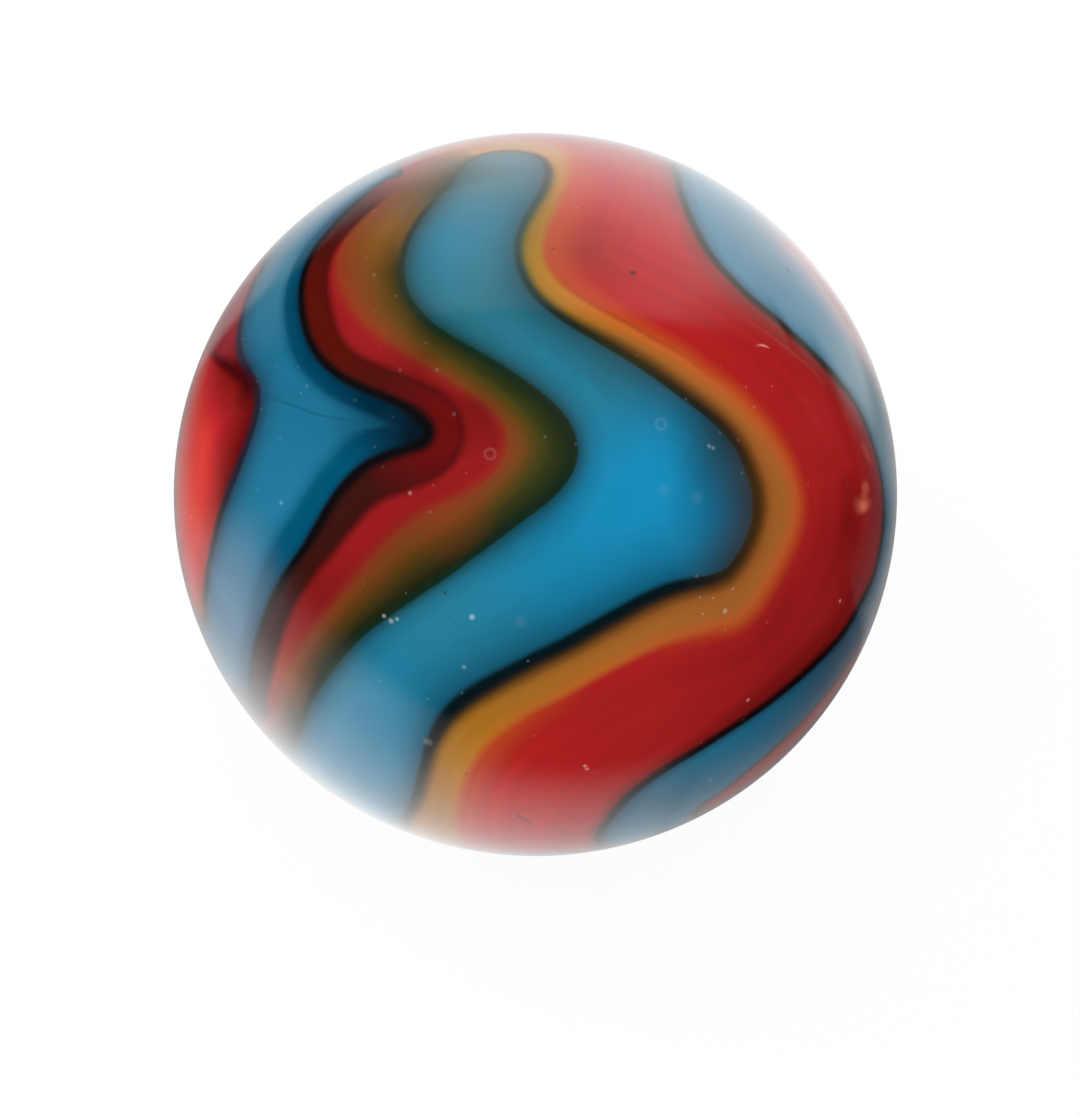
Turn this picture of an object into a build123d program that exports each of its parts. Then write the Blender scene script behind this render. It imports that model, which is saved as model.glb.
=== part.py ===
"""A glass playing marble, in millimetres.

The real one is a single gob of hot glass, cut from striped coloured streams and
rolled round on grooved rollers. It is solid all through: the colours are fused
into the one piece, and there is no core, shell or seam to take apart.

Frame: the origin is the ball's centre, with +Z up. A ball has no base of its own,
so its lowest point only touches what it lies on.
"""

import os

from build123d import *

# Driving dimension
BALL_DIAMETER = 16.0  # the common playing size, five eighths of an inch

# Where the solid is written
PARTS_FOLDER = "parts"


def half_round_profile():
    """The right half of the ball's section, in the XZ plane, with its straight side on the Z axis."""
    radius = BALL_DIAMETER / 2
    with BuildSketch(Plane.XZ) as profile:
        with BuildLine():
            rolled_edge = CenterArc((0, 0), radius, -90, 180)
            Line(rolled_edge @ 1, rolled_edge @ 0)
        make_face()
    return profile.sketch


def glass_ball():
    """The whole marble: the half round turned once about the upright axis."""
    with BuildPart() as ball:
        add(half_round_profile())
        revolve(axis=Axis.Z)
    return ball.part


def main():
    os.makedirs(PARTS_FOLDER, exist_ok=True)
    export_step(glass_ball(), os.path.join(PARTS_FOLDER, "glass_ball.step"))


main()
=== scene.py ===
# %% [markdown]
# # A swirled glass marble
#
# A playing marble starts as a gob of hot glass, cut from a stream in which several colours run side by
# side. Rollers turn it round while it sets, so the colours stay in it as bands that bend and fold over the
# ball. The frame holds the plain ball at its real size. This lesson gives the ball a finer skin, draws the
# bands on that skin, and makes one glass finish that shows them.

# %% Load the frame
import math

import bpy
import numpy as np
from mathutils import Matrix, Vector
from mathutils.kdtree import KDTree


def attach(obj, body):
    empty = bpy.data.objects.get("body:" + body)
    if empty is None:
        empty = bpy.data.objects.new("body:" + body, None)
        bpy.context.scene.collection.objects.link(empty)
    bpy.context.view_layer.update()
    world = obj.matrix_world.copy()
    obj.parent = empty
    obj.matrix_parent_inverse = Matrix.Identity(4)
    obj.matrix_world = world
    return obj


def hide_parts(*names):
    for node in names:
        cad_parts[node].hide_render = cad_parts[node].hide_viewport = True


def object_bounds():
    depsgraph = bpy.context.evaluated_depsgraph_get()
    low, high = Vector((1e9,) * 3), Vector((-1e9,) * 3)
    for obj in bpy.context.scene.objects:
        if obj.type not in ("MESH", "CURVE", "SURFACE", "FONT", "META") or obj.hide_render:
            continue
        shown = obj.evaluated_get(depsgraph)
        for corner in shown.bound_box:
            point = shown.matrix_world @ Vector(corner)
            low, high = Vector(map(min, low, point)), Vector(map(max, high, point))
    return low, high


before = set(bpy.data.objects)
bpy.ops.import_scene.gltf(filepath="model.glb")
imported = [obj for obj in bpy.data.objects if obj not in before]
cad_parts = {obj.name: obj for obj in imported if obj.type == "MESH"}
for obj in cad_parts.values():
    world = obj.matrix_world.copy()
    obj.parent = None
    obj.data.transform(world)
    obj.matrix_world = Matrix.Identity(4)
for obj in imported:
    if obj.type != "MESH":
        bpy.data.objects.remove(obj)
cad_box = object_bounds()
BALL_RADIUS = max(cad_box[1])
MM = 0.001
print("ball radius", round(BALL_RADIUS / MM, 3), "mm")

# %% [markdown]
# ## The camera
#
# The camera comes first, because the bands are drawn through it. In the photograph the ball's outline is a
# circle, and its centre and radius in pixels fix where the camera stands and points. A long lens far off is
# used, as for any small thing: it sees nearly half of the ball, with little of the bulge that a near lens
# gives. The camera looks steeply down, so the white floor fills the picture and the rim mirrors it.

# %% Place the camera
PHOTO_WIDTH = 1080
PHOTO_HEIGHT = 1117
OUTLINE_CENTRE = (535.5, 494.5)
OUTLINE_RADIUS = 361.7
LENS_MM = 300
SENSOR_MM = 36
CAMERA_ELEVATION = math.radians(60)

focal_px = LENS_MM / SENSOR_MM * PHOTO_HEIGHT
camera_distance = BALL_RADIUS / math.sin(math.atan(OUTLINE_RADIUS / focal_px))
px_at_ball = camera_distance / focal_px
towards_camera = Vector((0, -math.cos(CAMERA_ELEVATION), math.sin(CAMERA_ELEVATION)))
picture_right = Vector((1, 0, 0))
picture_up = towards_camera.cross(picture_right)
aim = picture_right * ((PHOTO_WIDTH / 2 - OUTLINE_CENTRE[0]) * px_at_ball)
aim -= picture_up * ((PHOTO_HEIGHT / 2 - OUTLINE_CENTRE[1]) * px_at_ball)

bpy.ops.object.camera_add(location=towards_camera * camera_distance)
camera = bpy.context.object
camera.data.lens = LENS_MM
camera.data.sensor_width = SENSOR_MM
camera.data.clip_start = camera_distance / 100
camera.rotation_mode = "QUATERNION"
camera.rotation_quaternion = (aim - camera.location).to_track_quat("-Z", "Y")
bpy.context.scene.camera = camera
bpy.context.view_layer.update()
print("camera distance", round(camera_distance / MM, 1), "mm; one pixel is", round(px_at_ball / MM, 4), "mm")

# %% [markdown]
# ## The ball's skin
#
# A globe primitive has two poles where its faces shrink to slivers. A cube that is cut into many squares
# and then blown up to a ball with the Cast modifier has even faces all over, so a drawing on it is equally
# fine everywhere. The skin stands for the frame's ball, at the same radius.

# %% Model the skin
FIRST_CUTS = 7
SECOND_CUTS = 15

bpy.ops.object.select_all(action="DESELECT")
bpy.ops.mesh.primitive_cube_add(size=2 * BALL_RADIUS)
skin = bpy.context.object
skin.name = "marble_skin"
bpy.ops.object.mode_set(mode="EDIT")
bpy.ops.mesh.select_all(action="SELECT")
bpy.ops.mesh.subdivide(number_cuts=FIRST_CUTS)
bpy.ops.mesh.subdivide(number_cuts=SECOND_CUTS)
bpy.ops.object.mode_set(mode="OBJECT")
blow_up = skin.modifiers.new("blow_up", "CAST")
blow_up.cast_type = "SPHERE"
blow_up.factor = 1
blow_up.use_radius_as_size = False
blow_up.size = BALL_RADIUS
bpy.ops.object.modifier_apply(modifier=blow_up.name)
bpy.ops.object.shade_smooth()

skin_points = np.zeros(len(skin.data.vertices) * 3)
skin.data.vertices.foreach_get("co", skin_points)
skin_points = skin_points.reshape(-1, 3) / MM
radii = np.linalg.norm(skin_points, axis=1)
print("skin", len(skin.data.polygons), "faces")
print("radius", radii.min().round(4), "to", radii.max().round(4), "mm")

# %% [markdown]
# ## From the photograph to the ball
#
# Each band ends at a border line. A border is drawn as a few points picked in the photograph, and a
# ray through each pixel finds the point on the ball. The far side of the ball isn't in the photograph, so
# its points are picked in the same picture as if the ball were clear, and there the ray's second hit
# counts. A smooth closed curve then runs through the points of one border.

# %% Cast pixels onto the ball
CURVE_STEPS = 16


def on_ball(pixels, far):
    """Points on the ball, in millimetres, under these pixels of the photograph."""
    turn = np.array(camera.matrix_world.to_3x3())
    eye = np.array(camera.location) / MM
    rays = np.column_stack(
        [
            (pixels[:, 0] - PHOTO_WIDTH / 2) / focal_px,
            (PHOTO_HEIGHT / 2 - pixels[:, 1]) / focal_px,
            -np.ones(len(pixels)),
        ]
    )
    rays = rays @ turn.T
    rays /= np.linalg.norm(rays, axis=1, keepdims=True)
    nearest = -(rays @ eye)
    spare = (BALL_RADIUS / MM) ** 2 - (eye @ eye - nearest**2)
    half_chord = np.sqrt(np.clip(spare, 0, None))
    hits = eye + rays * (nearest + np.where(far, half_chord, -half_chord))[:, None]
    return hits * (BALL_RADIUS / MM) / np.linalg.norm(hits, axis=1, keepdims=True)


def smooth_run(knots, closed):
    """A smooth curve through rows of place and widths, its places pushed out onto the ball."""
    before = np.roll(knots, 1, axis=0)
    after = np.roll(knots, -1, axis=0)
    beyond = np.roll(knots, -2, axis=0)
    if not closed:
        before[0] = knots[0]
        after[-1] = knots[-1]
        beyond[-2:] = knots[-1]
    spans = []
    for t in np.arange(CURVE_STEPS) / CURVE_STEPS:
        bend = (2 * before - 5 * knots + 4 * after - beyond) * t**2
        twist = (3 * knots - 3 * after + beyond - before) * t**3
        spans.append((2 * knots + (after - before) * t + bend + twist) / 2)
    curve = np.stack(spans, axis=1).reshape(len(knots) * CURVE_STEPS, -1)
    if not closed:
        curve = curve[: 1 - CURVE_STEPS]
    curve[:, :3] *= BALL_RADIUS / MM / np.linalg.norm(curve[:, :3], axis=1, keepdims=True)
    return curve


def border_curve(seen, hidden=()):
    """The curve of a border: closed if part of it is hidden, else an open stroke."""
    rows = np.array([*seen, *hidden], float)
    far = np.arange(len(rows)) >= len(seen)
    knots = np.column_stack([on_ball(rows[:, :2], far), rows[:, 2:] * px_at_ball / MM])
    return smooth_run(knots, closed=len(hidden) > 0)


outline_top = np.array([[OUTLINE_CENTRE[0], OUTLINE_CENTRE[1] - OUTLINE_RADIUS]])
print("the outline's top maps to", on_ball(outline_top, np.array([False])).round(2))

# %% [markdown]
# ## The borders
#
# Six borders make the whole swirl. Each row is a pixel of the photograph and three widths in pixels, and
# every border is walked with the blue glass on the left hand. The first width is half the width of the dark
# line. The second is how far the line shades the blue, and the third how far it shades the warm glass. The
# beak is the long point that the blue pushes into the left ribbon. Its second width is the navy band along
# it, and its third the oxblood band. The patch is the red on the far left.

# %% Draw the borders of the left gap
BORDERS = {}
BORDERS["beak"] = {
    "seen": [
        (247, 700, 3, 18, 26), (250, 678, 3, 18, 27), (254, 652, 3, 20, 29), (262, 626, 3, 22, 28),
        (272, 600, 4, 25, 27), (285, 576, 4, 29, 26), (301, 553, 4, 32, 26), (315, 531, 5, 32, 30),
        (330, 505, 5, 31, 35), (346, 483, 5, 30, 37), (366, 465, 5, 31, 39), (388, 455, 5, 30, 40),
        (410, 448, 5, 26, 39), (424, 442, 6, 24, 37), (429, 431, 6, 22, 35), (422, 419, 6, 22, 33),
        (407, 408, 5, 22, 30), (387, 398, 4, 22, 28), (363, 388, 4, 22, 28), (340, 376, 4, 22, 28),
        (321, 359, 4, 22, 30), (309, 339, 4, 23, 33), (303, 317, 4, 23, 34), (301, 294, 4, 23, 34),
        (305, 270, 4, 22, 34), (316, 247, 4, 20, 35), (332, 227, 4, 18, 36), (352, 206, 4, 16, 38),
        (372, 190, 3, 14, 38), (388, 179, 3, 12, 36), (400, 171, 2, 10, 34),
    ],
    "hidden": [
        (399, 177, 2, 12, 34), (385, 203, 3, 16, 33), (364, 254, 4, 20, 32), (335, 335, 4, 24, 30),
        (314, 430, 4, 26, 28), (320, 530, 4, 26, 28), (298, 625, 4, 24, 26), (262, 685, 3, 24, 24),
    ],
}
BORDERS["patch"] = {
    "seen": [
        (266, 258, 4, 22, 60), (254, 282, 4, 26, 70), (244, 308, 4, 28, 80), (239, 334, 4, 30, 90),
        (241, 355, 4, 32, 98), (249, 372, 4, 34, 106), (256, 386, 4, 36, 114), (258, 401, 4, 38, 116),
        (255, 420, 4, 38, 112), (248, 442, 4, 38, 104), (239, 466, 4, 37, 92), (230, 489, 4, 35, 76),
        (221, 514, 4, 32, 57), (214, 542, 4, 29, 49), (208, 572, 4, 25, 44), (205, 600, 4, 22, 38),
        (204, 624, 4, 16, 34),
    ],
    "hidden": [
        (216, 620, 4, 16, 40), (224, 560, 4, 20, 60), (230, 490, 4, 22, 70), (237, 415, 4, 22, 70),
        (252, 335, 4, 22, 60), (272, 275, 4, 18, 50),
    ],
}
print(sum(len(run["seen"]) for run in BORDERS.values()), "rows seen in the left gap")

# %% [markdown]
# The window is the blue band that runs over the middle of the ball from top to bottom. Its line is black
# and wide below, thin and olive on the right, and a soft green on the left.

# %% Draw the border of the window
BORDERS["window"] = {
    "seen": [
        (404, 822, 3, 36, 18), (414, 798, 3, 36, 20), (421, 772, 3, 36, 22), (429, 745, 4, 40, 22),
        (442, 720, 6, 55, 26), (460, 701, 7, 66, 30), (485, 684, 7, 66, 33), (512, 669, 6, 66, 34),
        (539, 655, 6, 70, 34), (566, 642, 6, 70, 34), (592, 627, 6, 70, 34), (619, 612, 6, 70, 34),
        (645, 598, 6, 70, 34), (669, 588, 6, 70, 32), (692, 582, 5, 70, 30), (712, 578, 4, 75, 29),
        (728, 570, 3, 75, 29), (741, 553, 3, 75, 29), (750, 534, 3, 75, 29), (755, 513, 3, 75, 29),
        (754, 491, 3, 75, 29), (748, 471, 3, 78, 28), (738, 449, 3, 80, 27), (723, 429, 3, 78, 26),
        (701, 410, 3, 68, 27), (677, 392, 3, 62, 27), (651, 373, 3, 60, 28), (625, 356, 3, 60, 26),
        (598, 340, 3, 58, 23), (573, 325, 3, 52, 19), (550, 309, 3, 46, 17), (532, 291, 3, 44, 16),
        (521, 270, 3, 42, 16), (517, 249, 3, 40, 16), (521, 229, 3, 42, 16), (531, 209, 3, 46, 16),
        (542, 191, 3, 50, 15), (547, 174, 3, 50, 14), (542, 160, 2, 44, 12), (525, 153, 1, 36, 12),
        (501, 152, 1, 34, 12), (480, 156, 1, 34, 12), (464, 165, 2, 36, 14), (452, 180, 3, 38, 16),
        (437, 198, 3, 40, 18), (421, 217, 3, 44, 20), (409, 237, 3, 44, 20), (403, 257, 3, 44, 20),
        (402, 276, 3, 44, 20), (406, 293, 3, 44, 20), (416, 309, 3, 42, 20), (430, 324, 3, 40, 20),
        (449, 337, 3, 38, 20), (471, 350, 3, 36, 20), (495, 364, 3, 34, 20), (518, 379, 3, 34, 20),
        (540, 395, 3, 34, 20), (559, 413, 3, 34, 20), (571, 432, 3, 34, 20), (575, 451, 3, 34, 20),
        (571, 469, 3, 36, 20), (560, 486, 3, 40, 20), (545, 501, 3, 45, 20), (522, 518, 3, 46, 20),
        (497, 537, 3, 42, 20), (471, 556, 3, 33, 20), (444, 576, 3, 28, 20), (417, 594, 3, 28, 20),
        (391, 612, 3, 30, 20), (366, 630, 3, 34, 20), (346, 650, 3, 38, 20), (329, 671, 3, 38, 20),
        (314, 693, 3, 36, 20), (303, 717, 3, 34, 20), (294, 740, 3, 32, 20),
    ],
    "hidden": [
        (305, 748, 3, 40, 20), (350, 690, 3, 40, 20), (405, 610, 3, 40, 20), (440, 520, 3, 40, 20),
        (448, 430, 3, 40, 20), (436, 345, 3, 40, 20), (448, 268, 3, 40, 20), (492, 222, 3, 40, 20),
        (536, 250, 3, 40, 20), (552, 335, 3, 40, 20), (562, 430, 3, 40, 20), (556, 525, 3, 40, 20),
        (522, 620, 3, 40, 20), (472, 715, 3, 40, 20), (420, 800, 3, 40, 20),
    ],
}
print(len(BORDERS["window"]["seen"]), "rows seen round the window")

# %% [markdown]
# Outside the window lies amber glass, and outside that red. On the border between the two, the three
# numbers are the softness of the change, how dull the amber is (50 is brown, 100 olive and 150 dark tan)
# and how golden it is.

# %% Draw the border between amber and red
BORDERS["amber"] = {
    "seen": [
        (456, 836, 8, 0, 60), (457, 812, 8, 0, 60), (462, 788, 7, 0, 60), (470, 768, 6, 0, 60),
        (483, 749, 6, 0, 55), (503, 731, 6, 0, 45), (530, 713, 6, 0, 36), (562, 697, 6, 0, 28),
        (594, 679, 6, 0, 22), (625, 663, 6, 0, 17), (653, 649, 7, 0, 10), (682, 639, 7, 0, 4),
        (711, 631, 8, 0, 0), (735, 624, 8, 0, 0), (752, 610, 9, 0, 0), (767, 588, 9, 0, 0),
        (781, 562, 9, 0, 0), (793, 535, 9, 0, 0), (798, 508, 9, 0, 0), (794, 482, 9, 0, 0),
        (784, 457, 9, 0, 0), (770, 434, 8, 0, 0), (752, 412, 8, 0, 0), (731, 391, 8, 0, 0),
        (706, 373, 7, 0, 0), (682, 355, 7, 0, 5), (655, 340, 7, 0, 10), (629, 325, 6, 0, 15),
        (602, 311, 5, 0, 25), (580, 298, 5, 0, 40), (562, 285, 5, 0, 60), (549, 270, 5, 0, 75),
        (543, 254, 5, 0, 80), (545, 236, 6, 0, 80), (552, 216, 7, 0, 75), (561, 197, 8, 0, 70),
        (568, 176, 8, 0, 65), (567, 156, 8, 0, 60), (552, 144, 8, 0, 55), (525, 140, 8, 0, 50),
        (492, 141, 9, 0, 40), (455, 147, 10, 8, 35), (420, 163, 10, 50, 0), (386, 190, 8, 55, 0),
        (358, 217, 8, 52, 0), (340, 244, 8, 50, 0), (334, 271, 8, 50, 0), (342, 298, 8, 50, 0),
        (357, 321, 8, 55, 0), (378, 339, 8, 65, 0), (403, 355, 8, 75, 0), (431, 372, 8, 85, 0),
        (459, 390, 8, 95, 0), (483, 406, 8, 100, 0), (499, 424, 8, 100, 0), (503, 443, 8, 100, 0),
        (497, 463, 8, 104, 0), (481, 480, 8, 118, 0), (458, 493, 8, 136, 0), (434, 504, 8, 148, 0),
        (410, 517, 8, 150, 0), (390, 533, 8, 150, 0), (371, 553, 8, 150, 0), (354, 574, 8, 150, 0),
        (336, 595, 8, 150, 0), (318, 617, 8, 150, 0), (302, 639, 8, 150, 0), (288, 662, 8, 150, 0),
        (276, 688, 8, 150, 0), (268, 714, 8, 150, 0),
    ],
    "hidden": [
        (282, 722, 12, 150, 0), (312, 675, 14, 130, 0), (358, 600, 14, 110, 0), (390, 515, 14, 90, 0),
        (398, 430, 14, 70, 0), (386, 345, 14, 50, 0), (396, 255, 14, 25, 20), (440, 195, 12, 0, 50),
        (500, 176, 10, 0, 60), (562, 200, 10, 0, 60), (600, 262, 8, 0, 40), (604, 345, 8, 0, 20),
        (612, 430, 8, 0, 0), (606, 525, 8, 0, 20), (574, 622, 8, 0, 40), (522, 718, 8, 0, 60),
        (474, 796, 8, 0, 60),
    ],
}
print(len(BORDERS["amber"]["seen"]), "rows seen between amber and red")

# %% [markdown]
# On the right the wide red ribbon ends at another blue band, and a thin red rim closes the view.

# %% Draw the borders of the right gap
BORDERS["edge"] = {
    "seen": [
        (674, 163, 3, 20, 26), (679, 184, 3, 20, 26), (686, 207, 3, 20, 26), (697, 231, 4, 19, 25),
        (711, 255, 4, 18, 34), (729, 276, 4, 17, 38), (750, 297, 4, 16, 34), (773, 316, 4, 14, 34),
        (796, 337, 4, 13, 32), (818, 358, 4, 13, 32), (838, 380, 4, 14, 36), (855, 403, 3, 16, 42),
        (867, 428, 3, 18, 52), (876, 455, 3, 18, 60), (882, 483, 3, 18, 68), (884, 514, 3, 18, 72),
        (881, 545, 4, 16, 72), (874, 575, 4, 16, 70), (860, 605, 5, 16, 66), (842, 635, 5, 16, 58),
        (817, 662, 5, 16, 58), (789, 687, 5, 16, 54), (759, 710, 5, 16, 46), (729, 730, 5, 17, 38),
        (699, 749, 5, 18, 31), (672, 765, 5, 20, 26), (647, 782, 5, 22, 25), (626, 799, 5, 24, 25),
        (610, 819, 4, 24, 22), (600, 839, 4, 24, 18),
    ],
    "hidden": [
        (606, 830, 4, 12, 20), (618, 770, 5, 14, 24), (645, 690, 5, 14, 30), (662, 605, 5, 14, 36),
        (692, 515, 5, 14, 36), (698, 420, 5, 14, 30), (664, 330, 5, 14, 24), (648, 245, 4, 12, 20),
        (662, 182, 3, 12, 16),
    ],
}
BORDERS["rim"] = {
    "seen": [
        (697, 812, 4, 14, 16), (722, 792, 4, 14, 16), (750, 769, 4, 14, 18), (780, 743, 4, 14, 18),
        (809, 714, 4, 14, 18), (836, 681, 4, 14, 18), (860, 645, 6, 40, 16), (878, 608, 6, 40, 14),
        (890, 566, 6, 40, 14), (896, 520, 6, 40, 14), (896, 474, 6, 40, 14), (891, 430, 6, 40, 14),
        (881, 391, 5, 40, 14), (864, 356, 3, 40, 14), (843, 319, 2, 50, 14), (822, 287, 2, 50, 14),
        (801, 259, 2, 50, 14), (784, 240, 2, 50, 14),
    ],
    "hidden": [
        (773, 248, 3, 30, 16), (757, 310, 4, 16, 20), (788, 390, 4, 16, 24), (806, 475, 4, 16, 24),
        (790, 560, 4, 16, 24), (752, 650, 4, 16, 24), (722, 735, 4, 14, 20), (700, 795, 4, 14, 16),
    ],
}
print(list(BORDERS), "are the borders")

# %% [markdown]
# Where hot glass folded over itself there are open strokes: a dark crease in the patch and a hairline that
# runs on from it through the blue. A pale glint beside the right edge is a painted highlight, drawn as a
# stroke too. Two small scuffs are strokes as well: a dark scratch low in the red, and a pale nick under the
# glint. Their rows are a pixel, half the width and the strength in percent. A nought stands for the third
# width.

# %% Draw the strokes
STROKES = {
    "crease": [
        (206, 351, 3, 0), (214, 357, 4, 55), (223, 363, 6, 80), (233, 370, 7, 85),
        (242, 377, 7, 85), (250, 384, 7, 80), (257, 392, 6, 40), (261, 397, 5, 0),
    ],
    "hairline": [
        (257, 391, 2, 0), (264, 395, 2, 30), (274, 399, 2, 30), (286, 403, 1, 40),
        (300, 408, 1, 45), (312, 413, 1, 45), (324, 416, 1, 45), (345, 420, 1, 35),
        (380, 426, 1, 15), (410, 429, 1, 0),
    ],
    # The glint is a painted highlight, not a fold.
    "glint": [
        (738, 314, 1, 0), (752, 323, 1, 16), (768, 334, 1, 22), (784, 346, 2, 24),
        (800, 359, 2, 22), (814, 372, 2, 16), (828, 389, 3, 0),
    ],
    "scratch": [
        (526, 808, 1, 0), (521, 810, 1, 35), (517, 813, 1, 55), (520, 817, 2, 60),
        (526, 820, 2, 60), (532, 824, 1, 45), (537, 827, 1, 0),
    ],
    "nick": [
        (757, 346, 1, 0), (759, 345, 1, 50), (762, 345, 1, 80), (765, 346, 1, 80),
        (768, 347, 1, 40), (769, 348, 1, 0),
    ],
}
curves = {name: border_curve(**runs) for name, runs in BORDERS.items()}
for name, rows in STROKES.items():
    curves[name] = border_curve([(*row, 0) for row in rows])
print({name: len(curve) for name, curve in curves.items()}, "curve points")

# %% [markdown]
# ## Distances as a pattern
#
# Colours could be painted face by face, but the edges would show the faces. A distance is better: every
# corner of the skin keeps how far it lies from each border, below zero on the blue side and above it on the
# warm side. Distances change evenly between corners, so a colour ramp on them gives an edge far finer than
# the faces.

# %% Measure the distances
def border_field(curve, closed):
    """The signed distance of each skin point from a border, and the border's widths beside it, in mm."""
    tree = KDTree(len(curve))
    for number, point in enumerate(curve[:, :3]):
        tree.insert(point, number)
    tree.balance()
    nearest = np.array([tree.find(point)[1] for point in skin_points])
    pieces = len(curve) if closed else len(curve) - 1
    stretches = np.roll(curve, -1, axis=0) - curve
    best = np.full(len(skin_points), np.inf)
    widths = np.zeros((len(skin_points), 3))
    along = np.zeros((len(skin_points), 3))
    for step in (-1, 0):
        piece = (nearest + step) % len(curve)
        piece = np.where(piece >= pieces, nearest - 1 - step, piece)
        gone = np.sum((skin_points - curve[piece, :3]) * stretches[piece, :3], axis=1)
        share = np.clip(gone / np.sum(stretches[piece, :3] ** 2, axis=1), 0, 1)[:, None]
        foot = curve[piece] + share * stretches[piece]
        gap = np.linalg.norm(skin_points - foot[:, :3], axis=1)
        closer = gap < best
        best[closer] = gap[closer]
        widths[closer] = foot[closer, 3:]
        along[closer] = stretches[piece[closer], :3]
    left_hand = np.cross(curve[nearest, :3], along)
    side = np.sum((skin_points - curve[nearest, :3]) * left_hand, axis=1)
    return -np.sign(side) * best, widths


def keep(name, values, kind, field):
    """Stores numbers on the skin's corners under a name that the finish can read."""
    layer = skin.data.attributes.new(name, kind, "POINT")
    layer.data.foreach_set(field, values.astype(np.float32).ravel())


for name, curve in curves.items():
    distance, widths = border_field(curve, closed=name in BORDERS)
    keep(name, distance, "FLOAT", "value")
    keep(name + "_widths", widths, "FLOAT_VECTOR", "vector")
    print(name, "from", distance.min().round(2), "to", distance.max().round(2), "mm")

# %% [markdown]
# ## A way to write finishes
#
# A finish is a tree of nodes. Adding each node and link by hand hides the idea, so two small classes help:
# a Wire is a node's output that can be added, multiplied and so on, and a Sheet makes any node from its
# type, its settings and what goes into its sockets.

# %% Wires and sheets
class Wire:
    """A node's output. Sums on wires add Math nodes, so a formula reads as it does on paper."""

    def __init__(self, sheet, socket):
        self.sheet = sheet
        self.socket = socket

    def __neg__(self):
        return self.sheet.maths("MULTIPLY", self, -1)

    def __abs__(self):
        return self.sheet.maths("ABSOLUTE", self)


def add_sign(sign, operation):
    """Lets a sign such as + stand between two wires, or between a wire and a number."""
    setattr(Wire, f"__{sign}__", lambda wire, other: wire.sheet.maths(operation, wire, other))
    setattr(Wire, f"__r{sign}__", lambda wire, other: wire.sheet.maths(operation, other, wire))


add_sign("add", "ADD")
add_sign("sub", "SUBTRACT")
add_sign("mul", "MULTIPLY")
add_sign("truediv", "DIVIDE")


class Sheet:
    """The node tree of one finish."""

    def __init__(self, tree):
        self.tree = tree
        self.tree.nodes.clear()

    def node(self, kind, settings=None, sockets=None, output=0):
        made = self.tree.nodes.new(kind)
        for name, value in (settings or {}).items():
            if name == "stops":
                lay_stops(made.color_ramp, value)
            else:
                setattr(made, name, value)
        for name, value in (sockets or {}).items():
            if isinstance(value, Wire):
                self.tree.links.new(value.socket, made.inputs[name])
            else:
                made.inputs[name].default_value = value
        return Wire(self, made.outputs[output]) if made.outputs else made

    def maths(self, operation, *values):
        return self.node("ShaderNodeMath", {"operation": operation}, dict(enumerate(values)))

    def rise(self, value, start, end, most=1.0, slope="SMOOTHSTEP"):
        """0 before start, most after end, and a slope between."""
        sockets = {"Value": value, "From Min": start, "From Max": end, "To Max": most}
        return self.node("ShaderNodeMapRange", {"interpolation_type": slope}, sockets)

    def ramp(self, value, stops):
        """A ramp's colour at a value from 0 to 1."""
        return self.node("ShaderNodeValToRGB", {"stops": stops}, {"Fac": value})

    def blend(self, share, under, over, way="MIX"):
        """Colour over laid on colour under, by a share from 0 to 1."""
        settings = {"data_type": "RGBA", "clamp_factor": True, "blend_type": way}
        return self.node("ShaderNodeMix", settings, {0: share, 6: under, 7: over}, output=2)


def lay_stops(ramp, stops):
    """Gives a colour ramp its stops: (place from 0 to 1, colour or grey level)."""
    ramp.interpolation = "LINEAR"
    while len(ramp.elements) < len(stops):
        ramp.elements.new(1)
    for element, (place, colour) in zip(ramp.elements, stops):
        element.position = place
        element.color = colour if isinstance(colour, tuple) else (colour, colour, colour, 1)


def tint(red, green, blue):
    """A colour as picked in a picture, 0 to 255, as the light values that a shader works in."""
    levels = [value / 255 for value in (red, green, blue)]
    light = [v / 12.92 if v <= 0.04045 else ((v + 0.055) / 1.055) ** 2.4 for v in levels]
    return (*light, 1)


glass = bpy.data.materials.new("swirl_glass")
glass.use_nodes = True
sheet = Sheet(glass.node_tree)
print("turquoise as light", [round(v, 3) for v in tint(30, 126, 158)])

# %% [markdown]
# ## Reading the borders
#
# The finish reads each border's distance and widths back from the skin.

# %% Read the borders
class Border:
    """A border as the finish sees it: the distance from it and the three widths beside it."""

    def __init__(self, name):
        settings = {"attribute_type": "GEOMETRY", "attribute_name": name}
        self.distance = sheet.node("ShaderNodeAttribute", settings, output=2)
        settings["attribute_name"] = name + "_widths"
        widths = sheet.node("ShaderNodeAttribute", settings, output=1)
        self.line = sheet.node("ShaderNodeSeparateXYZ", None, {0: widths}, output=0)
        self.cool = sheet.node("ShaderNodeSeparateXYZ", None, {0: widths}, output=1)
        self.warm = sheet.node("ShaderNodeSeparateXYZ", None, {0: widths}, output=2)


beak = Border("beak")
patch = Border("patch")
window = Border("window")
amber = Border("amber")
edge = Border("edge")
rim = Border("rim")
crease = Border("crease")
hairline = Border("hairline")
glint = Border("glint")
nick = Border("nick")
scratch = Border("scratch")
place = sheet.node("ShaderNodeTexCoord", output=3)
print("borders and strokes read")

# %% [markdown]
# ## Local tints
#
# No two places of the real glass have quite the same colour. One big painted map could hold that, but a few
# soft round zones do it with far less: in each, a second colour is laid over the first, strongest in the
# middle. A few zones at the lower right also darken the glass as painted shade.

# %% Lay colours on zones
PX = px_at_ball / MM


def spot(x, y):
    """The place on the ball under a pixel of the photograph, in metres."""
    return tuple(on_ball(np.array([[x, y]], float), np.array([False]))[0] * MM)


def away(x, y):
    """The distance from a spot on the ball, in metres."""
    sockets = {0: place, 1: spot(x, y)}
    return sheet.node("ShaderNodeVectorMath", {"operation": "DISTANCE"}, sockets, output=1)


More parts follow.
